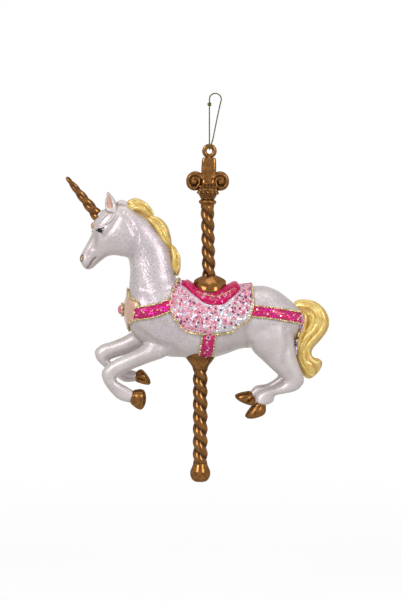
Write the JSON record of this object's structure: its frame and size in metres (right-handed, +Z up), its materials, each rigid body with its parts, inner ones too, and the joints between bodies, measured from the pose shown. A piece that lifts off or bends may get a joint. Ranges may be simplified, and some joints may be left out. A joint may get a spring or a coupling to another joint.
{
  "type": "carousel unicorn ornament",
  "caption": "Hanging carousel ornament: a prancing pearl-white unicorn with a saddle, on a copper twisted pole under a cord loop.",
  "frame": {"origin": "inner top of the hanging cord's loop, where a hook or twig would hold it", "axes": "+Z up, +X from the muzzle towards the tail, -Y the near (left) side, which faces the camera"},
  "size_m": [0.1319, 0.0312, 0.1947],
  "materials": {
    "pearl_paint": "pearlescent white paint with fine glitter on cast resin",
    "copper_paint": "metallic copper-bronze paint on cast resin",
    "gold_hair_paint": "pearly golden yellow paint with brown in the grooves",
    "seat_pink": "glossy hot pink paint",
    "strap_pink": "magenta glitter with gold glitter edges",
    "sequin_pink": "pearl paint under pale pink ring sequins and dark beads",
    "peach_paint": "peach pearl paint edged with gold glitter",
    "gold_glitter": "olive gold glitter",
    "pink_gem": "polished translucent pink acrylic",
    "green_cord": "twisted dark olive gold thread"
  },
  "bodies": {
    "hanging_loop": {"hanging_cord": "green_cord", "cord_knot": "green_cord"},
    "ornament": {"horse_body": "pearl_paint", "ear_near": "pearl_paint", "ear_far": "pearl_paint", "hanging_eye": "copper_paint", "finial": "copper_paint", "capital": "copper_paint", "upper_pole": "copper_paint", "saddle_flange": "copper_paint", "belly_cup": "copper_paint", "lower_pole": "copper_paint", "pole_foot": "copper_paint", "horn": "copper_paint", "fore_hoof_near": "copper_paint", "fore_hoof_far": "copper_paint", "hind_hoof_near": "copper_paint", "hind_hoof_far": "copper_paint", "mane_poll_lock": "gold_hair_paint", "mane_crest_lock": "gold_hair_paint", "mane_withers_lock": "gold_hair_paint", "tail": "gold_hair_paint", "saddle_seat": "seat_pink", "breast_strap_near": "strap_pink", "breast_strap_far": "strap_pink", "crupper_strap_near": "strap_pink", "crupper_strap_far": "strap_pink", "girth_strap_near": "strap_pink", "girth_strap_far": "strap_pink", "saddle_blanket": "sequin_pink", "breast_medallion": "peach_paint", "blanket_trim": "gold_glitter", "breast_gem_setting": "gold_glitter", "forehead_gem_setting": "gold_glitter", "breast_gem": "pink_gem", "forehead_gem": "pink_gem"}
  },
  "joints": [
    {"name": "loop_swing", "type": "hinge", "parent": "hanging_loop", "child": "ornament", "pos_m": [-0.00295, 0, -0.02835], "axis": [0, 1, 0], "range_deg": [-90, 90]}
  ]
}
